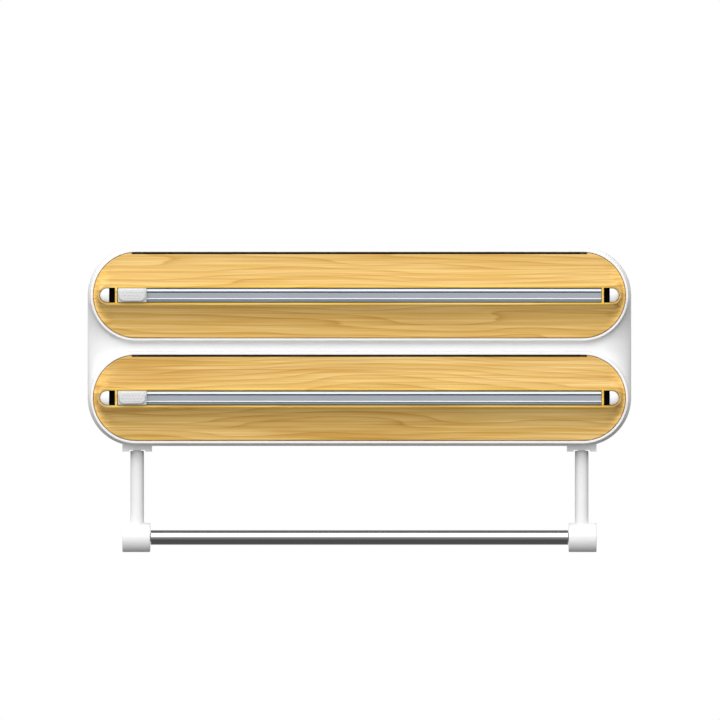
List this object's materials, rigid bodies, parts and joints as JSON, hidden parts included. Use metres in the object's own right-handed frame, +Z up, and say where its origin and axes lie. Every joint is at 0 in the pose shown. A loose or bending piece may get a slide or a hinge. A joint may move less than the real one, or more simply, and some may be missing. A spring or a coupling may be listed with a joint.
{
  "type": "wall foil and wrap dispenser",
  "caption": "Wall-mounted kitchen dispenser: stacked bays for foil and wrap rolls behind wood-look covers with slide cutters, and a steel paper-towel bar on swinging arms below",
  "frame": {"origin": "centre of the back face, on the wall, midway between the two roll bays", "axes": "+X to the right along the rolls, +Y into the wall so the front faces -Y, +Z up"},
  "size_m": [0.381, 0.0872, 0.2132],
  "materials": {
    "white_shell": "satin white",
    "plate_plastic": "matte light grey",
    "cover_wood": "honey wood, satin lacquer",
    "rail_plastic": "satin blue-grey",
    "slider_plastic": "satin light grey",
    "latch_black": "matte black",
    "roller_plastic": "matte white",
    "plug_plastic": "matte dark grey",
    "bar_steel": "polished",
    "zinc_steel": "zinc plated",
    "blade_steel": "ground",
    "spring_steel": "bare spring steel"
  },
  "bodies": {
    "body": {"housing": "white_shell", "back_plate": "plate_plastic", "back_plate_screws": "zinc_steel", "upper_latch_keepers": "spring_steel", "lower_latch_keepers": "spring_steel", "bracket_left": "white_shell", "bracket_right": "white_shell", "bracket_screws": "zinc_steel", "arm_pivot_pins": "zinc_steel"},
    "upper_cover_body": {"upper_cover": "cover_wood", "upper_cutter_rail": "rail_plastic", "upper_rail_screws": "zinc_steel", "upper_latch_retainers": "plate_plastic", "upper_retainer_screws": "zinc_steel", "upper_latch_spring_left": "spring_steel", "upper_latch_spring_right": "spring_steel"},
    "upper_slider": {"upper_slider_base": "slider_plastic", "upper_slider_pad": "slider_plastic", "upper_slider_blade": "blade_steel"},
    "upper_latch_left": {"upper_latch_slide_left": "latch_black", "upper_latch_cap_left": "white_shell"},
    "upper_latch_right": {"upper_latch_slide_right": "latch_black", "upper_latch_cap_right": "white_shell"},
    "upper_roller_front_body": {"upper_roller_front": "roller_plastic"},
    "upper_roller_rear_body": {"upper_roller_rear": "roller_plastic"},
    "lower_cover_body": {"lower_cover": "cover_wood", "lower_cutter_rail": "rail_plastic", "lower_rail_screws": "zinc_steel", "lower_latch_retainers": "plate_plastic", "lower_retainer_screws": "zinc_steel", "lower_latch_spring_left": "spring_steel", "lower_latch_spring_right": "spring_steel"},
    "lower_slider": {"lower_slider_base": "slider_plastic", "lower_slider_pad": "slider_plastic", "lower_slider_blade": "blade_steel"},
    "lower_latch_left": {"lower_latch_slide_left": "latch_black", "lower_latch_cap_left": "white_shell"},
    "lower_latch_right": {"lower_latch_slide_right": "latch_black", "lower_latch_cap_right": "white_shell"},
    "lower_roller_front_body": {"lower_roller_front": "roller_plastic"},
    "lower_roller_rear_body": {"lower_roller_rear": "roller_plastic"},
    "arm_left_body": {"arm_left": "white_shell"},
    "arm_right_body": {"arm_right": "white_shell"},
    "paper_bar_body": {"paper_bar": "bar_steel", "bar_end_plugs": "plug_plastic"}
  },
  "joints": [
    {"name": "upper_cover_pull", "type": "slide", "parent": "body", "child": "upper_cover_body", "axis": [0, -1, 0], "range_m": [0, 0.06], "deforming": ["upper_latch_keepers"]},
    {"name": "upper_cutter_slide", "type": "slide", "parent": "upper_cover_body", "child": "upper_slider", "axis": [1, 0, 0], "range_m": [0, 0.317]},
    {"name": "upper_latch_left_slide", "type": "slide", "parent": "upper_cover_body", "child": "upper_latch_left", "axis": [1, 0, 0], "range_m": [0, 0.0034], "stiffness_N_per_m": 400, "deforming": ["upper_latch_spring_left"]},
    {"name": "upper_latch_right_slide", "type": "slide", "parent": "upper_cover_body", "child": "upper_latch_right", "axis": [-1, 0, 0], "range_m": [0, 0.0034], "stiffness_N_per_m": 400, "deforming": ["upper_latch_spring_right"]},
    {"name": "upper_roller_front_spin", "type": "hinge", "parent": "body", "child": "upper_roller_front_body", "pos_m": [0, -0.05, 0.0115], "axis": [1, 0, 0], "continuous": true},
    {"name": "upper_roller_rear_spin", "type": "hinge", "parent": "body", "child": "upper_roller_rear_body", "pos_m": [0, -0.024, 0.0115], "axis": [1, 0, 0], "continuous": true},
    {"name": "lower_cover_pull", "type": "slide", "parent": "body", "child": "lower_cover_body", "axis": [0, -1, 0], "range_m": [0, 0.06], "deforming": ["lower_latch_keepers"]},
    {"name": "lower_cutter_slide", "type": "slide", "parent": "lower_cover_body", "child": "lower_slider", "axis": [1, 0, 0], "range_m": [0, 0.317]},
    {"name": "lower_latch_left_slide", "type": "slide", "parent": "lower_cover_body", "child": "lower_latch_left", "axis": [1, 0, 0], "range_m": [0, 0.0034], "stiffness_N_per_m": 400, "deforming": ["lower_latch_spring_left"]},
    {"name": "lower_latch_right_slide", "type": "slide", "parent": "lower_cover_body", "child": "lower_latch_right", "axis": [-1, 0, 0], "range_m": [0, 0.0034], "stiffness_N_per_m": 400, "deforming": ["lower_latch_spring_right"]},
    {"name": "lower_roller_front_spin", "type": "hinge", "parent": "body", "child": "lower_roller_front_body", "pos_m": [0, -0.05, -0.0605], "axis": [1, 0, 0], "continuous": true},
    {"name": "lower_roller_rear_spin", "type": "hinge", "parent": "body", "child": "lower_roller_rear_body", "pos_m": [0, -0.024, -0.0605], "axis": [1, 0, 0], "continuous": true},
    {"name": "arm_left_swing", "type": "hinge", "parent": "body", "child": "arm_left_body", "pos_m": [-0.1554, -0.056, -0.0707], "axis": [0, 1, 0], "range_deg": [0, 12]},
    {"name": "arm_right_swing", "type": "hinge", "parent": "body", "child": "arm_right_body", "pos_m": [0.1554, -0.056, -0.0707], "axis": [0, -1, 0], "range_deg": [0, 12]},
    {"name": "paper_bar_spin", "type": "hinge", "parent": "body", "child": "paper_bar_body", "pos_m": [0, -0.056, -0.1335], "axis": [1, 0, 0], "continuous": true}
  ]
}
